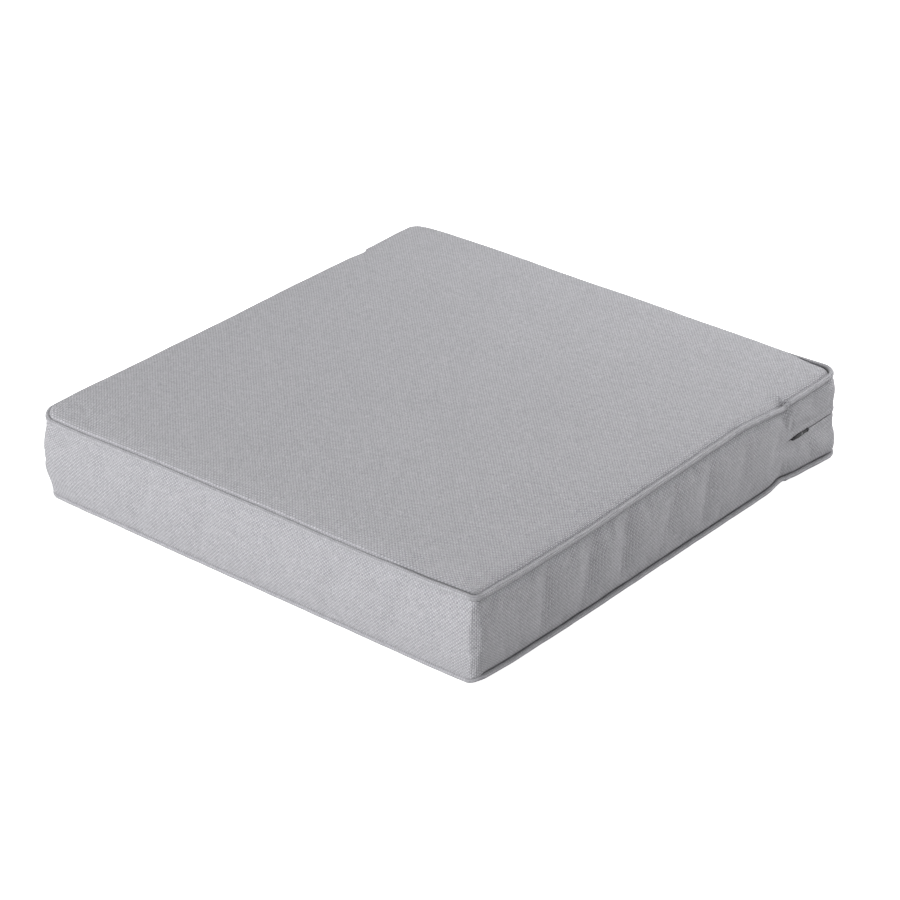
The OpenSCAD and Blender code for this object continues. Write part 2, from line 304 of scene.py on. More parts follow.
# %% [markdown]
# ## The shape of a panel
#
# The top of a foam cushion is nearly level, with a rounded shoulder beside the seam and a slight crown.
# What happens at the seam has to fade out inwards, so a seam value is spread over the grid from its four
# edges, each counting less the further away it is.

# %% Spreading a seam value inwards
def spread(values, reach):
    """Carries values at the edge inwards over the panel's grid, fading over the given reach."""
    count = [columns - 1, rows - 1, columns - 1, rows - 1]
    cuts = np.split(values, np.cumsum(count)[:-1])
    closed = [np.append(c, cuts[(i + 1) % 4][0]) for i, c in enumerate(cuts)]
    front, right = closed[0][None, :], closed[1][:, None]
    back, left = closed[2][::-1][None, :], closed[3][::-1][:, None]
    gaps = [
        lines_y[:, None] + panel_d + 0 * lines_x, panel_w - lines_x[None, :] + 0 * lines_y[:, None],
        panel_d - lines_y[:, None] + 0 * lines_x, lines_x[None, :] + panel_w + 0 * lines_y[:, None],
    ]
    weights = [1 / (g + 0.01) ** 2 for g in gaps]
    mixed = sum(w * v for w, v in zip(weights, [front, right, back, left])) / sum(weights)
    return mixed * np.exp(-((np.minimum.reduce(gaps) / reach) ** 1.5))


def spread_move(move, dip, reach):
    """Carries the moves of a seam inwards. The short dips at the joins fade out sooner than the rest."""
    rise = spread(move[:, 2] - dip, reach) + spread(dip, 9)
    return np.stack([spread(move[:, 0], 60), spread(move[:, 1], 60), rise], axis=-1)


def depth_inside():
    """Distance of each grid point from the panel's edge."""
    qx = np.abs(grid_x) - (panel_w - panel_r)
    qy = np.abs(grid_y) - (panel_d - panel_r)
    outside = np.hypot(np.maximum(qx, 0), np.maximum(qy, 0))
    return np.maximum(panel_r - outside - np.minimum(np.maximum(qx, qy), 0), 0)


def shoulder(depth, width):
    """Rises from 0 to 1 over the width, steeply at first."""
    return 1 - (1 - np.clip(depth / width, 0, 1)) ** 2.4


def swell(width):
    """Slow crown over the whole panel, 0 at its edges and 1 once the width is passed."""
    return shoulder(panel_w - np.abs(grid_x), width) * shoulder(panel_d - np.abs(grid_y), width)


# %% [markdown]
# At the back and on the left the filling bulges over the piping and half hides it, and a little of that
# shows at the front. There the shoulder is made taller and steeper, and the edge of the panel is rolled
# outwards on top of the piping.

# %% The top and the underside at rest
ROLL_OUT = 3.4
UNDER_TOP_SEAM = 2.4
REST_Z = 0.05


def rolled(spot, normal):
    """1 where the panel rolls right over its piping, 0 where it stays inside it."""
    left, back = np.clip(-normal[:, 0], 0, 1) ** 2, np.clip(normal[:, 1], 0, 1) ** 2
    front = 0.85 * np.clip(-normal[:, 1], 0, 1) ** 2
    return left + back * (1 - step(225, 275, spot[:, 0])) + front * (1 - step(165, 225, spot[:, 0]))


depth = depth_inside()
roll = rolled(outline, edge_normal)
roll_here = spread(roll, 60)
top_push = spread_move(top_move, -nip(outline, TOP_DIP), 70)
roll_x, roll_y = [spread(ROLL_OUT * roll * edge_normal[:, k], 14) for k in range(2)]
seam_top_z = height - piping_r - UNDER_TOP_SEAM
top_rise = (6.6 + 1.9 * roll_here) * shoulder(depth, 12 - 7 * roll_here) + 2.0 * swell(110)
top_grid = np.stack([grid_x + roll_x, grid_y + roll_y, seam_top_z + top_rise], axis=-1) + top_push

seam_bottom_z = piping_r + 0.6
bottom_push = spread_move(bottom_move, nip(outline, BOTTOM_DIP), 45)
bottom_z = (seam_bottom_z + bottom_push[..., 2]) * (1 - shoulder(depth, 34)) + REST_Z
bottom_grid = np.stack([grid_x + bottom_push[..., 0], grid_y + bottom_push[..., 1], bottom_z], axis=-1)
print(f"top from {top_grid[..., 2].min():.1f} to {top_grid[..., 2].max():.1f} mm")

# %% [markdown]
# ## The shape of the side walls
#
# The boxing band is held at the top and the bottom seam and swells between them. On the right side it was
# cut a little long, so it hangs in shallow slanting folds. The zip band is drawn in by its topstitching
# and again at the slit, with a soft roll between. Rows of the grid are put exactly on these lines.

# %% Rows of the wall
wall_low = 2 * piping_r - 0.8
wall_high = height - wall_low
upper_rows = spaced(slit_high, wall_high, 5.2, 1.6, [slit_high, stitch_high, wall_high], 3)
lower_rows = height - upper_rows[::-1] + (slit_low + slit_high - height)
wall_rows = np.concatenate([lower_rows, upper_rows])
wall_side = np.tile(outline, (len(wall_rows), 1, 1))
wall_face_in = half_w - box_mm("zip_band_upper")[1][0]
print("wall rows", len(wall_rows), "face inside the outline by", round(wall_face_in, 2))

# %% [markdown]
# A fold is a sharp valley between rounded ridges. It is given by where it crosses the wall's middle, how
# far its foot leans towards the front, its depth, its width and how far up and down it reaches.

# %% Folds, bulge and stitched dents
FOLDS = [
    (-206, 7, 3.2, 14, 30), (-136, 15, 4.0, 15, 36), (-74, 12, 4.0, 15, 36), (-2, 26, 2.3, 15, 28),
    (65, 12, 2.3, 15, 28), (130, 14, 1.4, 14, 26), (195, 18, 1.0, 13, 24),
]
FRONT_FOLDS = [(-150, 20, 0.5, 30, 30), (40, -15, 0.6, 34, 30), (200, 20, 0.6, 28, 26)]


def folded(folds, place, z):
    """Depth of the folds at places along a side."""
    total = 0
    for middle, lean, deep, width, reach in folds:
        off = (place - middle + lean * (slit_z - z) / 50) / width
        groove = 1.15 * np.exp(-np.sqrt(off**2 + 0.03)) - 0.35 * np.exp(-((np.abs(off) - 1.6) ** 2))
        total = total + deep * groove * np.exp(-(((z - slit_z - 4) / reach) ** 2))
    return total


def wall_out(z, place, normal):
    """How far the wall stands out from the line of its face."""
    share = np.clip((z - wall_low) / (wall_high - wall_low), 0, 1)
    x, y = place[..., 0], place[..., 1]
    arched = np.sin(math.pi * share)
    zipped = step(join_y - 8, join_y + 8, y)
    plain = 2.3 * arched**0.6
    plain = plain - np.clip(normal[..., 0], 0, 1) ** 2 * folded(FOLDS, y, z)
    plain = plain - np.clip(-normal[..., 1], 0, 1) ** 2 * folded(FRONT_FOLDS, x, z)
    at_join = np.exp(-(((y - join_y) / 16) ** 2)) * (np.abs(x) > half_w - corner_r)
    plain = plain * (1 - 0.35 * at_join)
    from_slit = np.abs(z - slit_z)
    from_stitch = np.maximum(from_slit - (stitch_high - slit_z), 0)
    bands = 2.6 * np.sin(math.pi * np.clip(from_stitch / (height / 2 - wall_low - 8), 0, 1)) ** 0.8
    roll = np.clip((from_slit - (slit_high - slit_z)) / (stitch_high - slit_high), 0, 1)
    plumpness = 0.75 + 1.0 * step(half_d - 25, half_d - 5, y)
    lips = plumpness * np.sin(math.pi * roll**1.4) - 0.25 * roll
    tucked = bands * (1 - 0.35 * at_join) + np.where(z > slit_z, lips, 0.6 * lips)
    return plain * (1 - zipped) + tucked * zipped


def closed_slit(z, x, y):
    """How far the lips lie towards the middle of the slit, less where the slider passes."""
    room = step(slider_y - 14, slider_y - 8, y) * (1 - step(slider_y + 58, slider_y + 64, y)) * (x > 0)
    left = (slit_high - slit_z) - (0.22 + 0.62 * room)
    over = np.abs(z - slit_z) - (slit_high - slit_z)
    return -np.sign(z - slit_z) * left * np.exp(-np.maximum(over, 0) / 2.5)


# %% [markdown]
# The foam's upright edges are sharper than the panels' corners, so half way up the wall the corners are
# made tighter. Beside each seam the wall tucks in, deeply on the right and hardly at all at the front.
# In front of the slit the wall is pressed flat, because the pull tab swings over it.

# %% The walls at rest
z = wall_rows[:, None]
near_top = step(stitch_high + 2, height - 2 * piping_r, z)
near_bottom = step(height - stitch_high - 2, 2 * piping_r, z)
facing = np.maximum(np.column_stack([edge_normal, -edge_normal]), 0) ** 2
cornered = (np.abs(edge_normal).sum(axis=1) - 1) / 0.414
top_tuck = facing @ [2.8, 2.0, 1.6, 1.2] * (1 - 0.85 * cornered)
low_tuck = facing @ [2.4, 1.6, 0.7, 0.4] * (1 - 0.85 * cornered)
tuck = top_tuck * np.exp(-((wall_high - z) / 2.6)) + low_tuck * np.exp(-((z - wall_low) / 2.6))
under_tab = step(slider_y - 46, slider_y - 32, outline[:, 1])
under_tab = under_tab * step(slider_y + 14, slider_y + 4, outline[:, 1])
under_tab = under_tab * (outline[:, 0] > 0) * np.exp(-(((z - slit_z) / 10) ** 4))
bulge = wall_out(z, wall_side, edge_normal)
bulge = bulge - under_tab * np.maximum(bulge - 0.3, 0)
inset = wall_face_in + tuck - bulge
inset = inset - 1.7 * cornered * (near_top + near_bottom)
tight = sharpened(outline, edge_normal, 11.5, 12)
wall_grid = np.empty((len(wall_rows), len(outline), 3))
wall_grid[..., :2] = outline - edge_normal * inset[..., None] + (
    near_top[..., None] * top_move[:, :2] + near_bottom[..., None] * bottom_move[:, :2]
    + (1 - near_top - near_bottom)[..., None] * tight
)
softer = nip(outline, TOP_DIP) - nip(outline, TOP_DIP, SOFT)
softer = softer * (1 - np.exp(-((wall_high - z) / 4)))
wall_grid[..., 2] = z + near_top * (top_move[:, 2] + softer) + near_bottom * bottom_move[:, 2]
wall_grid[..., 2] += np.where(outline[:, 1] > join_y, closed_slit(z, outline[:, 0], outline[:, 1]), 0)
steps_along = np.diff(wall_grid.mean(axis=0), axis=0, append=wall_grid.mean(axis=0)[:1])
along = np.concatenate([[0], np.cumsum(np.linalg.norm(steps_along, axis=1))])
print(f"wall out to {wall_grid[..., 0].max():.1f} mm, {along[-1]:.0f} mm round")

# %% [markdown]
# ## Letting cloth settle it
#
# The rules above give a tidy shape. Real fabric is a little too big for its filling in places and strains
# in others, and only a simulation gives that. The whole cover is joined into one closed mesh, pinned along
# its seams, blown up with a light pressure for 20 frames, and read back. A cap keeps the fabric near the
# foam. The pressure and the slightly enlarged cloth make the shallow waves.

# %% One closed mesh of the whole cover
def cell_corners(field):
    """The four values round each cell of a grid, anticlockwise."""
    return np.stack([field[:-1, :-1], field[:-1, 1:], field[1:, 1:], field[1:, :-1]], axis=2)


def cover_faces():
    """Quads of the top grid, the walls and the underside grid, joined at the seams."""
    size = rows * columns
    index = np.arange(size).reshape(rows, columns)
    quads = cell_corners(index).reshape(-1, 4)
    wall = 2 * size + np.arange(wall_grid.shape[0] * wall_grid.shape[1]).reshape(wall_grid.shape[:2])
    bands = np.concatenate([(size + round_edge(index))[None, :], wall, round_edge(index)[None, :]])
    right = np.roll(bands, -1, axis=1)
    sides = np.stack([bands[:-1], right[:-1], right[1:], bands[1:]], -1).reshape(-1, 4)
    return np.concatenate([quads, quads[:, ::-1] + size, sides])


def settle(points, faces, pinned, frames=20):
    """Runs a cloth simulation on a closed mesh in millimetres and gives back the moved points."""
    mesh = bpy.data.meshes.new("settling")
    mesh.from_pydata((points * MM).tolist(), [], faces.tolist())
    piece = in_scene("settling", mesh)
    group = piece.vertex_groups.new(name="seams")
    group.add(np.flatnonzero(pinned).tolist(), 1.0, "REPLACE")
    cloth = piece.modifiers.new("cloth", "CLOTH")
    cloth.settings.quality = 5
    cloth.settings.mass = 0.2
    cloth.settings.tension_stiffness = 20
    cloth.settings.compression_stiffness = 20
    cloth.settings.shear_stiffness = 8
    cloth.settings.bending_stiffness = 0.6
    cloth.settings.shrink_min = -0.012
    cloth.settings.vertex_group_mass = "seams"
    cloth.settings.use_pressure = True
    cloth.settings.uniform_pressure_force = 4
    cloth.settings.effector_weights.gravity = 0
    cloth.collision_settings.use_collision = False
    cloth.point_cache.frame_start = 1
    cloth.point_cache.frame_end = frames
    for number in range(1, frames + 1):
        bpy.context.scene.frame_set(number)
    settled = piece.evaluated_get(bpy.context.evaluated_depsgraph_get()).to_mesh()
    moved = np.empty(len(points) * 3)
    settled.vertices.foreach_get("co", moved)
    bpy.data.objects.remove(piece)
    bpy.data.meshes.remove(mesh)
    bpy.context.scene.frame_set(1)
    return moved.reshape(-1, 3) / MM


# %% Pin, run and cap
top_size = rows * columns
cover = np.concatenate([top_grid.reshape(-1, 3), bottom_grid.reshape(-1, 3), wall_grid.reshape(-1, 3)])
near_slit = np.abs(z - slit_z) < stitch_high - slit_z + 1
zip_columns = outline[:, 1] > join_y - 4
near_seam = (z < wall_low + 2.5) | (z > wall_high - 2.5)
wall_pin = near_seam | (near_slit & zip_columns[None, :])
panel_pin = (depth < 3).ravel()
pins = np.concatenate([panel_pin, panel_pin | (bottom_grid[..., 2] < 0.6).ravel(), wall_pin.ravel()])
loose = step(2, 30, depth).ravel()
cap = np.concatenate([1.6 * loose, 0.8 * loose, (1.5 * (1 - under_tab)).ravel()])
shift = settle(cover, cover_faces(), pins) - cover
size = np.maximum(np.linalg.norm(shift, axis=1, keepdims=True), 1e-9)
print(f"cloth moved {np.median(size):.2f} mm on the middle point, {size.max():.1f} mm at most")
shift = shift / size * cap[:, None] * np.tanh(size / np.maximum(cap[:, None], 1e-6))
cover = cover + shift
top_grid = cover[:top_size].reshape(rows, columns, 3)
bottom_grid = cover[top_size:2 * top_size].reshape(rows, columns, 3)
bottom_grid[..., 2] = np.maximum(bottom_grid[..., 2], REST_Z)
wall_grid = cover[2 * top_size:].reshape(wall_grid.shape)

# %% [markdown]
# ## Turning grids into pieces
#
# Every cloth piece is made by one helper. It takes a grid of points and a grid of cloth coordinates in
# metres, which become the UV map, so that the weave lies along the cut of the cloth and keeps its scale.
# A second UV map holds the distance to the nearest seam and how much painted shade that seam's crease gets.
# A tube is a grid whose columns, and for a ring also its rows, close on themselves.

# %% A mesh from a grid
def grid_mesh(name, points, cloth, seam=None, close_rows=False, close_columns=False, flip=False):
    """A mesh with one quad for each cell. The cloth grid has one more line where the points close."""
    high, wide = points.shape[:2]
    index = np.arange(high * wide).reshape(high, wide)
    if close_rows:
        index = np.concatenate([index, index[:1]])
    if close_columns:
        index = np.concatenate([index, index[:, :1]], axis=1)
    order = slice(None, None, -1 if flip else 1)
    quads = cell_corners(index)[:, :, order].reshape(-1, 4)
    mesh = bpy.data.meshes.new(name)
    mesh.from_pydata((points.reshape(-1, 3) * MM).tolist(), [], quads.tolist())
    for label, field in (("cloth", cloth), ("seam", seam)):
        if field is not None:
            used = field[:index.shape[0], :index.shape[1]]
            uv = cell_corners(used)[:, :, order].astype(np.float32)
            mesh.uv_layers.new(name=label).data.foreach_set("uv", uv.ravel())
    mesh.shade_smooth()
    return in_scene(name, mesh)


def thicken(piece, thickness, levels=1):
    """Gives a sheet its thickness on the inner side, then smooths it."""
    solid = piece.modifiers.new("thickness", "SOLIDIFY")
    solid.thickness = thickness * MM
    solid.offset = -1
    solid.edge_crease_outer = solid.edge_crease_rim = 1
    if levels:
        smooth = piece.modifiers.new("smooth", "SUBSURF")
        smooth.levels = levels
        smooth.render_levels = levels
    return piece


def settle_in(piece, body, slot, *nodes):
    """Rides the piece on its body and hides the frame's nodes that it stands for. Its finish slot is not
    used.
    """
    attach(piece, body)
    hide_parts(*nodes)
    print(f"{piece.name}: {len(piece.data.polygons)} faces before its modifiers")
    return piece


# %% [markdown]
# ## Cloth as a material
#
# The cover is a light grey basket weave of heathered yarns, each spun from paler and darker fibres. In a
# basket weave the yarns pass over and under like a chessboard, so each cell of the pattern is either a
# yarn running along or one running across. The group below works that out from the cloth coordinates
# and gives colour, roughness and a height for bump. Each fabric uses it with its own pitch and tones.

# %% Helpers for node trees
class Tree:
    """Short calls for adding shader nodes and joining them."""

    def __init__(self, tree):
        self.tree = tree

    def add(self, kind, links=(), **settings):
        node = self.tree.nodes.new(kind)
        for key, value in settings.items():
            setattr(node, key, value)
        return self.set(node, dict(links))

    def set(self, node, values):
        """Joins each input to a socket, or gives it a plain value."""
        for key, value in values.items():
            if isinstance(value, bpy.types.NodeSocket):
                self.tree.links.new(value, node.inputs[key])
            else:
                node.inputs[key].default_value = value
        return node

    def math(self, operation, *values, clamp=False):
        links = dict(enumerate(values))
        return self.add("ShaderNodeMath", links, operation=operation, use_clamp=clamp).outputs[0]

    def mix(self, factor, a, b, blend="MIX"):
        links = {"Factor": factor, 6: a, 7: b}
        return self.add("ShaderNodeMix", links, data_type="RGBA", blend_type=blend).outputs[2]

    def ramp(self, value, low, high):
        links = {"Value": value, "From Min": low, "From Max": high}
        return self.add("ShaderNodeMapRange", links).outputs[0]

    def noise(self, vector, scale, detail=2.0, output="Fac"):
        links = {"Vector": vector, "Scale": scale, "Detail": detail}
        return self.add("ShaderNodeTexNoise", links).outputs[output]

    def random(self, vector):
        links = {"Vector": vector}
        return self.add("ShaderNodeTexWhiteNoise", links, noise_dimensions="3D").outputs["Value"]

    def triple(self, *values):
        """A vector from three values."""
        return self.add("ShaderNodeCombineXYZ", dict(enumerate(values))).outputs[0]

    def grey(self, value):
        return self.add("ShaderNodeCombineColor", {0: value, 1: value, 2: value}).outputs[0]

    def bump(self, height, strength, distance):
        links = {"Height": height, "Strength": strength, "Distance": distance}
        return self.add("ShaderNodeBump", links).outputs[0]

    def here(self):
        """The place on the piece, in its own coordinates."""
        return self.add("ShaderNodeTexCoord").outputs["Object"]

    def uv(self, name):
        return self.add("ShaderNodeUVMap", uv_map=name).outputs[0]


def new_group(name, inputs, outputs, tree_kind="ShaderNodeTree"):
    """A node group with named sockets, and the tree helper, its input node and its output node."""
    group = bpy.data.node_groups.new(name, tree_kind)
    for label, kind, value in inputs:
        socket = group.interface.new_socket(label, in_out="INPUT", socket_type="NodeSocket" + kind)
        if value is not None:
            socket.default_value = value
    for label, kind in outputs:
        group.interface.new_socket(label, in_out="OUTPUT", socket_type="NodeSocket" + kind)
    tree = Tree(group)
    return group, tree, tree.add("NodeGroupInput").outputs, tree.add("NodeGroupOutput")


def new_material(name):
    """A material, the tree helper for it and its shader."""
    material = bpy.data.materials.new(name)
    material.use_nodes = True
    return material, Tree(material.node_tree), material.node_tree.nodes["Principled BSDF"]


# %% The weave group
WEAVE_INPUTS = [
    ("Cloth", "Vector", None), ("Pitch", "Float", 0.002), ("Turn", "Float", 0.0),
    ("Pale", "Color", (0.5, 0.5, 0.5, 1)), ("Dark", "Color", (0.2, 0.2, 0.2, 1)),
    ("Heather", "Float", 0.5), ("Two tone", "Float", 0.3),
]
WEAVE_OUTPUTS = [("Color", "Color"), ("Height", "Float"), ("Roughness", "Float")]


def weave_group():
    group, t, given, out = new_group("Woven cloth", WEAVE_INPUTS, WEAVE_OUTPUTS)
    turn = {"Vector": given["Cloth"], "Angle": given["Turn"]}
    turned = t.add("ShaderNodeVectorRotate", turn, rotation_type="Z_AXIS").outputs[0]
    warp = t.noise(turned, 90.0, 1.0, "Color")
    bent = t.add("ShaderNodeVectorMath", {0: warp, 1: (0.0007, 0.0007, 0)}, operation="MULTIPLY").outputs[0]
    placed = t.add("ShaderNodeVectorMath", {0: turned, 1: bent}, operation="ADD").outputs[0]
    share = t.math("DIVIDE", 1.0, given["Pitch"])
    cells = t.add("ShaderNodeVectorMath", {0: placed, "Scale": share}, operation="SCALE").outputs[0]
    parts = t.add("ShaderNodeSeparateXYZ", {0: cells}).outputs
    u, v = parts[0], parts[1]
    column, row = t.math("FLOOR", u), t.math("FLOOR", v)
    over = t.math("MODULO", t.math("ABSOLUTE", t.math("ADD", column, row)), 2.0)
    over = t.math("GREATER_THAN", over, 0.5)
    in_u, in_v = t.math("FRACT", u), t.math("FRACT", v)
    arc_u = t.math("SINE", t.math("MULTIPLY", in_u, math.pi))
    arc_v = t.math("SINE", t.math("MULTIPLY", in_v, math.pi))
    # A yarn's height: round across it, and arched along it as it passes over its neighbour
    across_yarn = t.mix(over, arc_u, arc_v)
    along_yarn = t.mix(over, arc_v, arc_u)
    height_now = t.math("MULTIPLY", t.math("POWER", across_yarn, 0.6), t.math("POWER", along_yarn, 0.45))
    # Each yarn keeps its own shade over a few cells, and its fibres are streaked along it
    yarn_u = t.triple(column, t.math("FLOOR", t.math("MULTIPLY", v, 0.34)), over)
    yarn_v = t.triple(t.math("FLOOR", t.math("MULTIPLY", u, 0.34)), row, over)
    tone = t.random(t.mix(over, yarn_u, yarn_v))
    fleck = t.random(t.triple(column, row, 7.0))
    fibres = t.noise(placed, 2600.0)
    mottle = t.noise(turned, 160.0, 3.0)
    spread_tone = t.math("MULTIPLY", t.math("SUBTRACT", t.math("ADD", tone, fleck), 1.0), given["Heather"])
    two_tone = t.math("MULTIPLY", t.math("SUBTRACT", over, 0.5), given["Two tone"])
    light = t.math("ADD", t.math("ADD", 0.5, two_tone), spread_tone)
    light = t.math("ADD", light, t.math("MULTIPLY", t.math("SUBTRACT", fibres, 0.5), 0.5))
    light = t.math("ADD", light, t.math("MULTIPLY", t.math("SUBTRACT", mottle, 0.5), 0.25), clamp=True)
    # The low parts of each yarn are painted darker: painted shade in the grooves of the weave.
    groove = t.ramp(height_now, 0.0, 0.55)
    shade = t.grey(t.math("ADD", 0.62, t.math("MULTIPLY", groove, 0.38)))
    fuzz = t.math("MULTIPLY", t.math("SUBTRACT", fibres, 0.5), 0.35)
    t.set(out, {
        "Color": t.mix(1.0, t.mix(light, given["Dark"], given["Pale"]), shade, "MULTIPLY"),
        "Height": t.math("ADD", height_now, fuzz),
        "Roughness": t.math("ADD", 0.78, t.math("MULTIPLY", fibres, 0.2)),
    })
    return group


weave = weave_group()
print("weave group with", len(weave.nodes), "nodes")


# %% [markdown]
# The creases beside a seam get painted shade. The next group turns the seam coordinates into a
# factor below 1 there, made uneven by a noise. Both the cover and the piping use it.

# %% The seam group
def painted_shade_group():
    inputs = [("Seam", "Vector", None), ("Reach", "Float", 0.0012), ("Depth", "Float", 0.5)]
    group, t, given, out = new_group("Painted seam shade", inputs, [("Value", "Float")])
    parts = t.add("ShaderNodeSeparateXYZ", {0: given["Seam"]}).outputs
    away = t.math("MULTIPLY", t.math("DIVIDE", parts[0], given["Reach"]), -1.0)
    near = t.math("MULTIPLY", t.math("EXPONENT", away), parts[1])
    # A noise makes the painted shade along the seam uneven.
    grain = t.noise(given["Seam"], 700.0)
    near = t.math("MULTIPLY", near, t.math("ADD", 0.75, t.math("MULTIPLY", grain, 0.5)))
    t.set(out, {0: t.math("SUBTRACT", 1.0, t.math("MULTIPLY", near, given["Depth"]))})
    return group


painted_seam_shade = painted_shade_group()

# %% [markdown]
# A cloth material is the weave group, the painted shade of the seam group, a slow drift in tone over the
# whole piece, a bump that sees the height of the yarns, and a little sheen, because loose fibre ends catch
# light at a low angle.

# %% Cloth materials
PALE_YARN, DARK_YARN = (0.56, 0.555, 0.585, 1), (0.25, 0.25, 0.27, 1)


def cloth_material(name, pitch, turn, depth):
    material, t, shader = new_material(name)
    yarns = t.set(t.add("ShaderNodeGroup", node_tree=weave), {
        "Cloth": t.uv("cloth"), "Pitch": pitch, "Turn": turn, "Pale": PALE_YARN, "Dark": DARK_YARN,
        "Heather": 0.2, "Two tone": 0.42,
    }).outputs
    # Painted shade in the creases beside the seams, from the seam group.
    shade = t.set(t.add("ShaderNodeGroup", node_tree=painted_seam_shade), {"Seam": t.uv("seam"), "Depth": depth})
    drift = t.math("ADD", 0.97, t.math("MULTIPLY", t.noise(t.here(), 5.0), 0.06))
    tint = t.grey(t.math("MULTIPLY", drift, shade.outputs[0]))
    t.set(shader, {
        "Base Color": t.mix(1.0, yarns["Color"], tint, "MULTIPLY"),
        "Roughness": yarns["Roughness"], "Normal": t.bump(yarns["Height"], 1.0, 0.0006),
        "Sheen Weight": 0.2, "Sheen Roughness": 0.6, "Specular IOR Level": 0.2,
    })
    return material


cover_cloth = cloth_material("cover_cloth", 0.002, 0.0, 0.5)
piping_cloth = cloth_material("piping_cloth", 0.0017, math.radians(45), 0.6)

# %% [markdown]
# ## The panels and the bands
#
# The top panel's cloth coordinates are its plan, because it was cut flat. A band is cut as a long strip,
# so its coordinates are the distance along the outline and the height.

# %% Top panel and underside panel
plan_cloth = np.stack([grid_x, grid_y], axis=-1) * MM
FABRIC = 0.6
# How much painted shade each seam's crease gets round the outline, spread over the panels.
top_crease_shade, bottom_crease_shade = [on_sides(table, outline, edge_normal) for table in (TOP_CREASE_SHADE, BOTTOM_CREASE_SHADE)]
top_seam, bottom_seam = [
    np.stack([depth * MM, spread(crease, 60)], axis=-1) for crease in (top_crease_shade, bottom_crease_shade)
]
top_panel = thicken(grid_mesh("top_panel_cloth", top_grid, plan_cloth, top_seam), FABRIC)
top_panel.data.materials.append(cover_cloth)
settle_in(top_panel, "cushion", "cover_fabric", "top_panel")

bottom_panel = grid_mesh("bottom_panel_cloth", bottom_grid, plan_cloth, bottom_seam, flip=True)
thicken(bottom_panel, FABRIC, levels=0)
bottom_panel.data.materials.append(cover_cloth)
settle_in(bottom_panel, "cushion", "cover_fabric", "bottom_panel")

# %% [markdown]
# The outline starts at the front left corner. The boxing band covers the places in front of both joins,
# and the zip bands cover the rest. The bands meet exactly at the join, where the nip hides the seam.

# %% Split the wall at the joins
behind = outline[:, 1] > join_y + 0.1
first_zip = int(np.argmax(behind))
last_zip = len(behind) - 1 - int(np.argmax(behind[::-1]))
zip_part = np.concatenate([[first_zip - 1], np.arange(first_zip, last_zip + 2)])
box_part = np.concatenate([np.arange(last_zip + 1, len(outline)), np.arange(0, first_zip)])
along_box = np.where(box_part > last_zip, along[box_part] - along[-1], along[box_part])
print("boxing band over", len(box_part), "places, zip bands over", len(zip_part))


def strip_cloth(distance, levels):
    return np.stack(np.meshgrid(distance, levels), axis=-1) * MM


def strip_seam(levels, places):
    """Distance of each level to the nearer seam, and how much painted shade that seam's crease gets."""
    levels = np.asarray(levels)[:, None]
    gap = np.minimum(levels - wall_low, wall_high - levels) + 0 * along[places]
    shade_amount = np.where(levels > slit_z, top_crease_shade[places], bottom_crease_shade[places])
    return np.stack([gap * MM, shade_amount], axis=-1)


# %% Boxing band
boxing_cloth = strip_cloth(along_box, wall_rows)
boxing_seam = strip_seam(wall_rows, box_part)
boxing = grid_mesh("boxing_band_cloth", wall_grid[:, box_part], boxing_cloth, boxing_seam)
thicken(boxing, FABRIC).data.materials.append(cover_cloth)
settle_in(boxing, "cushion", "cover_fabric", "boxing_band")

# %% [markdown]
# Each zip band is folded back on itself at the slit, to make a lip that hides the chain. The fold is a
# half turn of small radius, and the hem behind it runs back towards the topstitching.

# %% Zip bands with folded lips
FOLD_R = 0.6
LIP_LEVELS = np.array([0.5, 1, 1.5, 2, 4, 7, 10, 13])


def lip(edge_row, direction):
    """Rows that carry a band round the fold at the slit and up behind it."""
    inward = np.concatenate([-edge_normal[zip_part], np.zeros((len(zip_part), 1))], axis=1)
    upward = np.array([0, 0, direction])
    made = []
    for turn in np.radians([45, 90, 135, 180]):
        across_fold = inward * FOLD_R * (1 - math.cos(turn))
        made.append(edge_row + across_fold - upward * FOLD_R * 0.5 * math.sin(turn))
    for climb in (2, 5, 8, 11):
        made.append(edge_row + inward * (2 * FOLD_R + 0.05) + upward * climb)
    return np.array(made)


def zip_band(name, band_rows, direction, node):
    """One zip band: its wall rows, ordered from the seam to the slit, then its lip."""
    face = wall_grid[band_rows][:, zip_part]
    points = np.concatenate([face, lip(face[-1], direction)])
    levels = wall_rows[band_rows]
    levels = np.append(levels, levels[-1] - direction * LIP_LEVELS)
    seam = strip_seam(levels, zip_part % len(outline))
    band = grid_mesh(name, points, strip_cloth(along[zip_part], levels), seam, flip=direction > 0)
    thicken(band, 0.55).data.materials.append(cover_cloth)
    settle_in(band, "cushion", "cover_fabric", node)


half_rows = len(lower_rows)
from_top = np.arange(len(wall_rows) - 1, half_rows - 1, -1)
zip_band("zip_band_upper_cloth", from_top, 1, "zip_band_upper")
zip_band("zip_band_lower_cloth", np.arange(0, half_rows), -1, "zip_band_lower")

# %% [markdown]
# ## The piping
#
# Piping is a cord wrapped in a strip of the cover cloth, cut at 45 degrees so that it bends round the
# corners. It is a tube that follows the seam line. Its own, finer line is needed here, because the nip at
# the joins is only a few millimetres long.

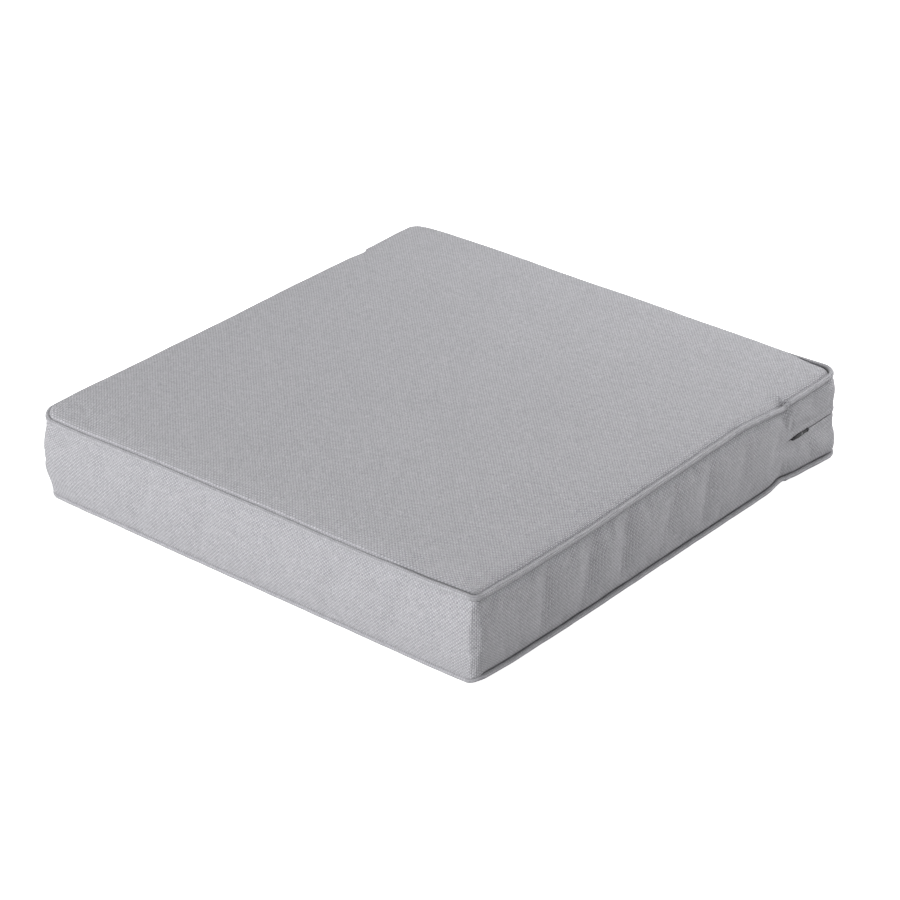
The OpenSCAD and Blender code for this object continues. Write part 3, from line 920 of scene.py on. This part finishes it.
# %% A fine line round the cushion
def fine_outline(pitch):
    """Places and outward directions round the outline, evenly apart, from the front left corner."""
    flat = np.array([half_w - corner_r, half_d - corner_r] * 2)
    arc = corner_r * math.pi / 2
    starts = np.concatenate([[0], np.cumsum(2 * flat + arc)])
    distance = np.linspace(0, starts[-1], round(starts[-1] / pitch), endpoint=False)
    side = np.searchsorted(starts, distance, side="right") - 1
    gone = distance - starts[side]
    facing = (side - 1) * math.pi / 2
    turned = facing + np.maximum(gone - 2 * flat[side], 0) / corner_r
    out = np.stack([np.cos(facing), np.sin(facing)], axis=1)
    sideways = np.stack([-out[:, 1], out[:, 0]], axis=1)
    normal = np.stack([np.cos(turned), np.sin(turned)], axis=1)
    from_middle = np.minimum(gone, 2 * flat[side]) - flat[side]
    centre = out * flat[(side + 1) % 4][:, None] + sideways * from_middle[:, None]
    return centre + normal * corner_r, normal, starts[-1]


fine_place, fine_normal, fine_total = fine_outline(1.8)
fine_top, fine_bottom = seam_shift(fine_place, fine_normal)
print(f"piping line of {len(fine_place)} places over {fine_total:.0f} mm")


# %% Tubes that follow it
def seam_line(inside, at_top, rise=0.0):
    """Points round the cushion, at a distance inside the outline and above the middle of the piping."""
    level = height - piping_r if at_top else piping_r
    flat = fine_place - fine_normal * np.reshape(inside, (-1, 1))
    line = np.column_stack([flat, np.full(len(flat), level + rise)]) + (fine_top if at_top else fine_bottom)
    line[:, 2] = np.maximum(line[:, 2], piping_r)
    return line


def tube_round(name, line, radius, sides, seam=None):
    """A closed ring of tube along a line round the cushion."""
    turn = np.arange(sides) / sides * 2 * math.pi
    outward = np.column_stack([fine_normal, np.zeros(len(fine_normal))])
    ring = radius * (np.cos(turn)[:, None, None] * outward + np.sin(turn)[:, None, None] * [0, 0, 1])
    distance = np.linspace(0, fine_total, len(line) + 1)
    cloth = strip_cloth(distance, np.linspace(0, 2 * math.pi * radius, sides + 1))
    return grid_mesh(name, line + ring, cloth, seam, close_rows=True, close_columns=True)


# On the piping the painted shade falls on the side of the tube that turns into the seam.
def tube_seam(crease, sides, middle):
    """Seam coordinates of a tube whose free side is centred on the angle called middle, in degrees."""
    turn = np.linspace(0, 360, sides + 1)[:, None]
    from_middle = np.abs((turn - middle + 180) % 360 - 180)
    gap = np.maximum(112 - from_middle, 0) * math.pi / 180 * piping_r + 0 * np.append(crease, crease[0])
    return np.stack([gap * MM, np.append(crease, crease[0]) + 0 * gap], axis=-1)


wobble = np.arange(len(fine_place)) / len(fine_place) * 2 * math.pi
plump = 0.12 * np.sin(37 * wobble) + 0.08 * np.sin(83 * wobble + 1)
fine_facing = np.maximum(np.column_stack([fine_normal, -fine_normal]), 0) ** 2
drawn_under = fine_facing @ [0.2, 0.5, 0.8, 1.1]
for label, at_top, table, middle in (("top", True, TOP_CREASE_SHADE, 38), ("bottom", False, BOTTOM_CREASE_SHADE, -38)):
    inside = piping_r + plump + (0 if at_top else drawn_under)
    seam = tube_seam(on_sides(table, fine_place, fine_normal), 18, middle)
    wrap = tube_round(f"{label}_piping_cloth", seam_line(inside, at_top), piping_r - 0.05, 18, seam)
    wrap.data.materials.append(piping_cloth)
    settle_in(wrap, "cushion", "piping_fabric", f"{label}_piping_cover")

# %% [markdown]
# Inside the piping runs a soft filler cord. It never shows, but a library part is opened up and cut
# through, so the cord follows the same line with its own twist.

# %% Twist group and filler cord
def twist_group():
    inputs = [("Cloth", "Vector", None), ("Pitch", "Float", 0.004), ("Slant", "Float", 1.0)]
    group, t, given, out = new_group("Twisted strands", inputs, [("Value", "Float"), ("Height", "Float")])
    parts = t.add("ShaderNodeSeparateXYZ", {0: given["Cloth"]}).outputs
    slanted = t.math("ADD", parts[0], t.math("MULTIPLY", parts[1], given["Slant"]))
    turns = t.math("DIVIDE", slanted, given["Pitch"])
    round_strand = t.math("ABSOLUTE", t.math("SINE", t.math("MULTIPLY", turns, math.pi)))
    fibres = t.noise(given["Cloth"], 1500.0)
    mixed = t.math("ADD", t.math("MULTIPLY", round_strand, 0.7), t.math("MULTIPLY", fibres, 0.3))
    t.set(out, {"Value": mixed, "Height": t.math("POWER", round_strand, 0.6)})
    return group


twist = twist_group()


def twisted_material(name, pale, dark, pitch, slant):
    """Cord: strands that wind round it, seen from its own cloth coordinates."""
    material, t, shader = new_material(name)
    group = t.add("ShaderNodeGroup", node_tree=twist)
    strands = t.set(group, {"Cloth": t.uv("cloth"), "Pitch": pitch, "Slant": slant}).outputs
    t.set(shader, {
        "Base Color": t.mix(strands["Value"], (*dark, 1), (*pale, 1)),
        "Roughness": t.math("SUBTRACT", 0.9, t.math("MULTIPLY", strands["Value"], 0.2)),
        "Normal": t.bump(strands["Height"], 0.5, 0.0003),
    })
    return material


filler_cord = twisted_material("filler_cord", (0.86, 0.85, 0.81), (0.66, 0.65, 0.6), 0.005, 1.2)
for label, at_top in (("top", True), ("bottom", False)):
    inside = piping_r + plump + (0 if at_top else drawn_under)
    core = tube_round(f"{label}_piping_core", seam_line(inside, at_top), cord_r, 10)
    core.data.materials.append(filler_cord)
    settle_in(core, "cushion", "piping_cord", f"{label}_piping_cord")

# %% [markdown]
# ## The filling
#
# A foam block is wrapped in polyester wadding, which rounds its edges and fills the cover's corners. The
# wadding under each panel is a closed form between the foam and the panel: the panel's grid, moved
# in by its thickness, and the foam's flat face, joined round the edge.

# %% Fibre and foam materials
def filling_material(name, pale, dark, scale, cells):
    """Soft filling: a fine texture of fibres, or of open cells, on the piece's own coordinates."""
    material, t, shader = new_material(name)
    if cells:
        fine = t.add("ShaderNodeTexVoronoi", {"Vector": t.here(), "Scale": scale}).outputs["Distance"]
    else:
        drawn = t.add("ShaderNodeMapping", {"Vector": t.here(), "Scale": (1.0, 1.0, 0.25)}).outputs[0]
        fine = t.noise(drawn, scale, 6.0)
    slow = t.noise(t.here(), 12.0)
    mask = t.math("ADD", t.math("MULTIPLY", fine, 0.7), t.math("MULTIPLY", slow, 0.3), clamp=True)
    t.set(shader, {
        "Base Color": t.mix(mask, (*dark, 1), (*pale, 1)),
        "Roughness": t.math("ADD", 0.85, t.math("MULTIPLY", fine, 0.12)),
        "Normal": t.bump(fine, 0.6, 0.001), "Sheen Weight": 0.0 if cells else 0.3,
    })
    return material


wadding_fibre = filling_material("wadding_fibre", (0.92, 0.92, 0.89), (0.74, 0.74, 0.7), 420.0, cells=False)
foam_cells = filling_material("foam_cells", (0.86, 0.79, 0.58), (0.62, 0.55, 0.36), 700.0, cells=True)

# %% Closed forms from two grids
def closed_form(name, upper, lower, material):
    """A solid between two grids of the same size, with a wall between their edges."""
    high, wide = upper.shape[:2]
    size = high * wide
    index = np.arange(size).reshape(high, wide)
    quads = cell_corners(index).reshape(-1, 4)
    ring = round_edge(index)
    after = np.roll(ring, -1)
    sides = np.stack([ring + size, after + size, after, ring], -1)
    faces = np.concatenate([quads, quads[:, ::-1] + size, sides])
    mesh = bpy.data.meshes.new(name)
    points = np.concatenate([upper.reshape(-1, 3), lower.reshape(-1, 3)]) * MM
    mesh.from_pydata(points.tolist(), [], faces.tolist())
    mesh.shade_smooth()
    mesh.materials.append(material)
    piece = in_scene(name, mesh)
    bevel = piece.modifiers.new("soft_edge", "BEVEL")
    bevel.width = 1.2 * MM
    bevel.segments = 2
    bevel.limit_method = "ANGLE"
    bevel.angle_limit = math.radians(50)
    return piece


def level_grid(inset, z):
    """The panel's grid, drawn in to a distance inside the outline, at one height."""
    shrink = np.array([(half_w - inset) / panel_w, (half_d - inset) / panel_d])
    flat = np.stack([grid_x, grid_y], axis=-1) * shrink
    return np.concatenate([flat, np.full(flat.shape[:2] + (1,), float(z))], axis=-1)


# %% Foam block and wadding
foam_low, foam_high = box_mm("foam_core")[0][2], box_mm("foam_core")[1][2]
foam_in = half_w - box_mm("foam_core")[1][0]
foam = closed_form("foam_block", level_grid(foam_in, foam_high), level_grid(foam_in, foam_low), foam_cells)
settle_in(foam, "cushion", "foam", "foam_core")

wadding_in = 1.4
drawn_in = np.array([1 - 3.5 / half_w, 1 - 3.5 / half_d, 1])
under_top = top_grid * drawn_in - [0, 0, wadding_in]
at_nip = np.exp(-(((grid_y - join_y) / 22) ** 2) - ((panel_w - np.abs(grid_x)) / 70) ** 2)
under_top[..., 2] -= 5 * at_nip
under_top[..., 2] = np.maximum(under_top[..., 2], foam_high + 0.5)
over_foam = under_top.copy()
over_foam[..., 2] = foam_high + 0.1
top_wadding = closed_form("top_wadding", under_top, over_foam, wadding_fibre)
settle_in(top_wadding, "cushion", "wadding", "wadding_top")

over_bottom = bottom_grid * drawn_in + [0, 0, wadding_in]
over_bottom[..., 2] = np.minimum(over_bottom[..., 2], foam_low - 0.5)
below_foam = over_bottom.copy()
below_foam[..., 2] = foam_low - 0.1
bottom_wadding = closed_form("bottom_wadding", below_foam, over_bottom, wadding_fibre)
settle_in(bottom_wadding, "cushion", "wadding", "wadding_bottom")

# %% [markdown]
# The strip of wadding round the foam's sides is a ring. It fills the space behind the walls and is
# pressed in behind the zip, where the slider needs room.

# %% Wadding round the sides
strip_rows = (wall_rows > foam_low) & (wall_rows < foam_high)
strip_z = wall_rows[strip_rows][:, None]
wall_inset_now = ((outline - wall_grid[strip_rows][..., :2]) * edge_normal).sum(axis=-1)
groove = step(20, 15, np.abs(strip_z - slit_z)) * step(join_y - 12, join_y - 6, outline[:, 1])
groove_in = foam_in - 1.8
strip_inset = np.maximum(wall_inset_now + wadding_in, wall_face_in + 1.8)
strip_inset = strip_inset * (1 - groove) + groove_in * groove
strip_level = np.broadcast_to(strip_z[..., None], strip_inset.shape + (1,))
outer = np.concatenate([outline - edge_normal * strip_inset[..., None], strip_level], axis=-1)
inner = outer[::-1].copy()
inner[..., :2] = outline - edge_normal * (foam_in - 0.1)
ring_points = np.concatenate([outer, inner])
ring_cloth = strip_cloth(along, np.arange(len(ring_points) + 1))
edge_wadding = grid_mesh("edge_wadding", ring_points, ring_cloth, close_rows=True, close_columns=True)
edge_wadding.data.materials.append(wadding_fibre)
settle_in(edge_wadding, "cushion", "wadding", "wadding_edge")

# %% [markdown]
# ## Stitches
#
# A row of stitches is one small shape repeated along a line, which is what Geometry Nodes do best. The
# tree below cuts a line into stitches, turns each one along the line, tilts it a little at random, with
# a fixed seed, and makes them real. The same tree sews every row, with its own length and gap.

# %% The stitch tree
def along_line(name, inputs, output):
    """A geometry group that takes a line, and the points along it at the pitch."""
    inputs = [("Line", "Geometry", None), *inputs, ("Finish", "Material", None)]
    group, t, given, out = new_group(name, inputs, [(output, "Geometry")], "GeometryNodeTree")
    line = t.add("GeometryNodeMeshToCurve", {0: given["Line"]}).outputs[0]
    links = {"Curve": line, "Length": given["Pitch"]}
    return group, t, given, out, t.add("GeometryNodeCurveToPoints", links, mode="LENGTH").outputs


def repeat_at(t, points, shape, given, out, **links):
    """Ends a tree: one copy of the shape on each point, made real and given its finish."""
    shape = t.add("GeometryNodeSetShadeSmooth", {0: shape}).outputs[0]
    links = {"Points": points["Points"], "Instance": shape, **links}
    placed = t.add("GeometryNodeInstanceOnPoints", links).outputs[0]
    real = t.add("GeometryNodeRealizeInstances", {0: placed}).outputs[0]
    finished = t.add("GeometryNodeSetMaterial", {"Geometry": real, "Material": given["Finish"]}).outputs[0]
    t.set(out, {0: finished})


def stitch_tree():
    """Line in, stitches out: one rounded bead for each pitch along the line."""
    inputs = [
        ("Pitch", "Float", 0.0035), ("Stitch length", "Float", 0.0028), ("Thickness", "Float", 0.0005),
        ("Unevenness", "Float", 0.06), ("Seed", "Int", 3),
    ]
    group, t, given, out, points = along_line("Row of stitches", inputs, "Stitches")
    bead = t.add("GeometryNodeMeshUVSphere", {"Segments": 6, "Rings": 6, "Radius": 0.5}).outputs["Mesh"]
    tilt = t.add("FunctionNodeRandomValue", {"Seed": given["Seed"]}, data_type="FLOAT_VECTOR")
    t.set(tilt, {"Min": t.math("MULTIPLY", given["Unevenness"], -1.0), "Max": given["Unevenness"]})
    turned = t.add("FunctionNodeRotateRotation", {0: points["Rotation"]}, rotation_space="LOCAL")
    t.set(turned, {1: t.add("FunctionNodeEulerToRotation", {0: tilt.outputs[0]}).outputs[0]})
    size = t.triple(given["Thickness"], given["Thickness"], given["Stitch length"])
    repeat_at(t, points, bead, given, out, Rotation=turned.outputs[0], Scale=size)
    return group


stitches = stitch_tree()


def run_tree(name, lines, group, values):
    """Runs a geometry tree on lines of points in millimetres and keeps the result as a plain mesh."""
    mesh = bpy.data.meshes.new(name + "_line")
    starts = np.cumsum([0] + [len(points) for points in lines])
    edges = [(a + i, a + i + 1) for a, points in zip(starts, lines) for i in range(len(points) - 1)]
    mesh.from_pydata((np.concatenate(lines) * MM).tolist(), edges, [])
    carrier = in_scene(name + "_line", mesh)
    modifier = carrier.modifiers.new("tree", "NODES")
    modifier.node_group = group
    named = {item.name: item.identifier for item in group.interface.items_tree if item.in_out == "INPUT"}
    for label, value in values.items():
        modifier[named[label]] = value
    graph = bpy.context.evaluated_depsgraph_get()
    made = bpy.data.meshes.new_from_object(carrier.evaluated_get(graph), depsgraph=graph)
    made.name = name
    bpy.data.objects.remove(carrier)
    bpy.data.meshes.remove(mesh)
    return in_scene(name, made)


# %% [markdown]
# Thread has no cloth coordinates, because the tree makes it. Its twist is a fine, stretched noise instead,
# and its colour is a shade darker than the cover: painted shade for the dents that it lies in.

# %% Thread
def thread_material(name, pale, dark):
    material, t, shader = new_material(name)
    wave = {"Vector": t.here(), "Scale": 1400.0, "Distortion": 2.0}
    strands = t.add("ShaderNodeTexWave", wave).outputs["Fac"]
    slow = t.noise(t.here(), 60.0)
    mask = t.math("ADD", t.math("MULTIPLY", strands, 0.5), t.math("MULTIPLY", slow, 0.5))
    t.set(shader, {
        "Base Color": t.mix(mask, (*dark, 1), (*pale, 1)),
        "Roughness": t.math("ADD", 0.55, t.math("MULTIPLY", strands, 0.2)),
        "Normal": t.bump(strands, 0.4, 0.0001),
    })
    return material


thread = thread_material("thread", (0.5, 0.5, 0.52), (0.26, 0.26, 0.28))


def sew(name, lines, node, **values):
    values = {"Finish": thread, **{key.replace("_", " ").capitalize(): v for key, v in values.items()}}
    return settle_in(run_tree(name, lines, stitches, values), "cushion", "thread", node)


# %% [markdown]
# The topstitching runs along the two dented rows of the zip bands. Its line is a row of the wall's own
# grid, so the stitches lie in the dent that they make.

# %% Topstitching, seam rows and bars
def wall_row(level, columns_of_row, out=0.0):
    """Points along the wall at one height, standing out from the cloth by a little."""
    row = int(np.argmin(np.abs(wall_rows - level)))
    line = wall_grid[row][columns_of_row].copy()
    line[:, :2] += edge_normal[columns_of_row] * out
    return line


stitched = zip_part[3:-3]
for label, level in (("upper", stitch_high), ("lower", stitch_low)):
    sew(f"zip_topstitch_{label}_thread", [wall_row(level, stitched, 0.1)], f"zip_topstitch_{label}",
        thickness=0.0007, seed=5)
for label, at_top in (("top", True), ("bottom", False)):
    line = seam_line(2 * piping_r + 1.6, at_top, -2.4 if at_top else 2.4)
    sew(f"{label}_seam_stitches", [line[::2]], f"{label}_seam_thread", thickness=0.0004, seed=7)

join_z = [(foam_low, slit_z - 15), (slit_z + 15, foam_high)]
join_x = half_w - wall_face_in - 3.4
join_rows = [
    np.array([[side * join_x, join_y - 2, level] for level in np.linspace(low, high, 12)])
    for side in (-1, 1) for low, high in join_z
]
sew("join_seam_stitches", join_rows, "join_seam_thread", thickness=0.0004, seed=9)

bar_x = half_w - wall_face_in + 0.05
bar_y = middle_mm("zip_bar_tacks", 1)
bar_half = np.ptp([corner[2] for corner in box_mm("zip_bar_tacks")]) / 2
bars = [
    np.array([[side * bar_x, bar_y + aside, slit_z + bar_half * end] for end in (-1, 0, 1)])
    for side in (-1, 1) for aside in (-0.5, -0.1, 0.3, 0.7)
]
bar_stitch = {"pitch": 0.0011, "stitch_length": 0.0016, "thickness": 0.0005, "seed": 11}
sew("zip_bar_tack_thread", bars, "zip_bar_tacks", **bar_stitch)

# %% [markdown]
# ## The zip's chain
#
# Each side of the chain is a nylon coil: a flattened spiral whose loops hook into those of the other
# side. It is hidden behind the lips, but it shows when the model is opened. A second tree repeats one
# loop along the tape. The stretch that the slider crosses is a piece of its own, because its loops part.

# %% Coil tree
def coil_tree():
    """Line in, coil out: one flattened loop of nylon for each pitch along the line."""
    inputs = [
        ("Pitch", "Float", 0.0015), ("Loop width", "Float", 0.0028), ("Loop depth", "Float", 0.0020),
        ("Wire", "Float", 0.00035),
    ]
    group, t, given, out, points = along_line("Zip coil", inputs, "Coil")
    ring = t.add("GeometryNodeCurvePrimitiveCircle", {"Resolution": 10, "Radius": 0.5}).outputs[0]
    wire = {"Resolution": 5, "Radius": given["Wire"]}
    wire = t.add("GeometryNodeCurvePrimitiveCircle", wire).outputs[0]
    oval = t.triple(given["Loop depth"], given["Loop width"], 1.0)
    shaped = t.add("GeometryNodeTransform", {"Geometry": ring, "Scale": oval}).outputs[0]
    loop = t.add("GeometryNodeCurveToMesh", {"Curve": shaped, "Profile Curve": wire}).outputs[0]
    repeat_at(t, points, loop, given, out, Rotation=points["Rotation"])
    return group


coils = coil_tree()


# %% Coils and tapes
def nylon_material(name, base, worn, scale, roughness):
    """Plain nylon or tape: fine grain, a slow change of tone and a rubbed look on the high spots."""
    material, t, shader = new_material(name)
    grain = t.noise(t.here(), scale, 3.0)
    mask = t.math("MULTIPLY", t.ramp(grain, 0.35, 0.75), t.noise(t.here(), 40.0))
    t.set(shader, {
        "Base Color": t.mix(mask, (*base, 1), (*worn, 1)),
        "Roughness": t.math("ADD", roughness, t.math("MULTIPLY", grain, 0.2)),
        "Normal": t.bump(grain, 0.3, 0.0001),
    })
    return material


coil_nylon = nylon_material("coil_nylon", (0.24, 0.24, 0.25), (0.36, 0.36, 0.37), 900.0, 0.35)
tape_weave = nylon_material("tape_weave", (0.28, 0.28, 0.29), (0.42, 0.42, 0.43), 1600.0, 0.75)
coil_x = middle_mm("zip_top_stops", 0)
coil_in = half_w - coil_x
chain_start = box_mm("zip_top_stops")[1][1] + 5
passed = slider_y + 55


def chain_line(z, first, last):
    """Line of one coil: up the right side, along the back and down the left side."""
    first_place = int(np.argmin(np.hypot(*(fine_place - [half_w, 0]).T)))
    flat = np.roll(fine_place - fine_normal * coil_in, -first_place, axis=0)
    right = (flat[:, 0] > 0) & (flat[:, 1] > first) & (flat[:, 1] < last)
    rest = ((flat[:, 0] > 0) & (flat[:, 1] >= last)) | ((flat[:, 0] <= 0) & (flat[:, 1] > join_y + 9))
    keep = right if last < half_d else rest
    return np.concatenate([flat[keep], np.full((keep.sum(), 1), z)], axis=1)


for label, sign in (("upper", 1), ("lower", -1)):
    level = slit_z + sign * 1.52
    ends = {"near": (chain_start, passed), "far": (passed, 2 * half_d)}
    for part, (first, last) in ends.items():
        line = chain_line(level, first, last)
        chain = run_tree(f"zip_coil_{label}_{part}", [line], coils, {"Finish": coil_nylon})
        settle_in(chain, "cushion", "zip_coil", f"zip_coil_{label}")
        if part == "near":
            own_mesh(chain)
    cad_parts[f"zip_tape_{label}"].material_slots[0].material = tape_weave

# %% [markdown]
# ## Enamelled metal
#
# The slider and its pull tab are cast zinc with black enamel. They are rigid and already have their
# true shape in the frame, so they only get a finish: a slightly uneven gloss coat, rubbed through to
# bright metal in small patches where fingers and cloth wear it.

# %% Enamel
def enamel_material():
    material, t, shader = new_material("black_enamel")
    rub = t.noise(t.here(), 260.0, 5.0)
    worn = t.ramp(rub, 0.66, 0.72)
    t.set(shader, {
        "Base Color": t.mix(worn, (0.018, 0.018, 0.02, 1), (0.42, 0.42, 0.43, 1)), "Metallic": worn,
        "Roughness": t.math("ADD", 0.3, t.math("MULTIPLY", rub, 0.25)),
        "Normal": t.bump(t.noise(t.here(), 700.0, 1.0), 0.15, 0.0001),
    })
    return material


enamel = enamel_material()
for node in ("zip_slider", "zip_puller", "zip_top_stops", "zip_end_staple"):
    for slot_of_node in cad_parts[node].material_slots:
        slot_of_node.material = enamel
print("enamel on the slider, the pull tab, the stops and the staple")

# %% [markdown]
# ## Light and floor
#
# A pale floor and a white surround, and a big soft light on the front. Two weaker lights stand behind, one
# over the back edge and one on the right, which shades the folds, and a faint one fills in at the front.

# %% Studio
floor_mesh = bpy.data.meshes.new("floor")
floor_mesh.from_pydata([(-9, -9, 0), (9, -9, 0), (9, 9, 0), (-9, 9, 0)], [], [(0, 1, 2, 3)])
floor = in_scene("floor", floor_mesh)
floor.location.z = -0.0005
floor_paint, t, floor_shader = new_material("floor_paint")
t.set(floor_shader, {
    "Base Color": (0.6, 0.6, 0.6, 1), "Roughness": 0.9, "Emission Color": (1, 1, 1, 1),
    "Emission Strength": t.add("ShaderNodeLightPath").outputs["Is Camera Ray"],
})
floor_mesh.materials.append(floor_paint)

world = bpy.data.worlds.new("surround")
world.use_nodes = True
background = world.node_tree.nodes["Background"].inputs
background["Color"].default_value = (1, 1, 1, 1)
background["Strength"].default_value = 0.36
bpy.context.scene.world = world
bpy.context.scene.view_settings.view_transform = "Standard"


def soft_light(name, place, size, power):
    """A square area light that faces the cushion."""
    lamp = bpy.data.lights.new(name, "AREA")
    lamp.size = size
    lamp.energy = power
    lamp_object = in_scene(name, lamp)
    lamp_object.location = place
    lamp_object.rotation_euler = Vector(place).to_track_quat("Z", "Y").to_euler()
    lamp_object.visible_camera = False


soft_light("key_light", (-0.8, -3.4, 1.15), 1.6, 134)
soft_light("back_light", (0.3, 1.15, 1.0), 0.9, 15)
soft_light("side_light", (3.0, 3.8, 1.3), 1.6, 92)
soft_light("fill_light", (1.6, -2.7, 0.9), 1.0, 8)
